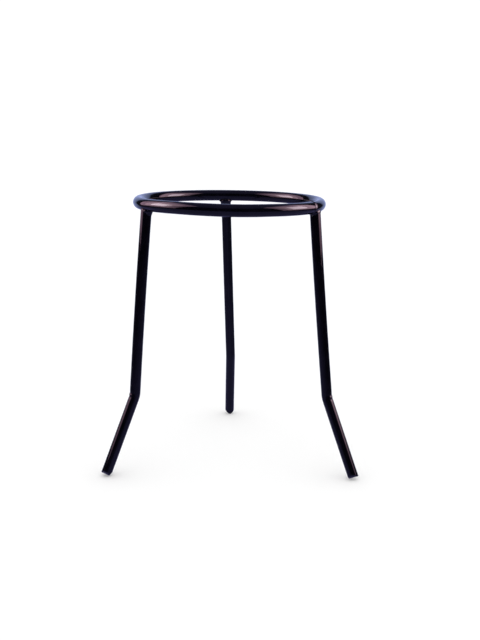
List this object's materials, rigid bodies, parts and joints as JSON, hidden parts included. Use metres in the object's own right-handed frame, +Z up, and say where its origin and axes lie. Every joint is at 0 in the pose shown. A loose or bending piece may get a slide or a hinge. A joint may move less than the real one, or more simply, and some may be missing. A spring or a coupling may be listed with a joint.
{
  "type": "laboratory tripod stand",
  "caption": "Small laboratory tripod: a level ring of round rod welded on top of bent rod legs that splay below their knees, for holding a gauze or dish above a burner.",
  "frame": {"origin": "on the floor, straight below the centre of the ring", "axes": "+Z up out of the ring; the open side between the two front legs faces -Y, the third leg is at +Y, and +X is to the right seen from the front"},
  "size_m": [0.1799, 0.1666, 0.192],
  "materials": {
    "ring_enamel": "glossy black stoving enamel on steel rod, with a faint blue tint and soft orange peel",
    "leg_enamel": "glossy black stoving enamel on steel rod, drawn lines showing faintly, thin at the cut feet",
    "weld_enamel": "glossy black enamel over rough weld beads, pooled in the hollows"
  },
  "bodies": {
    "root": {"ring": "ring_enamel", "ring_seam_weld": "weld_enamel", "leg_left": "leg_enamel", "leg_right": "leg_enamel", "leg_back": "leg_enamel", "weld_left": "weld_enamel", "weld_right": "weld_enamel", "weld_back": "weld_enamel"}
  },
  "joints": []
}
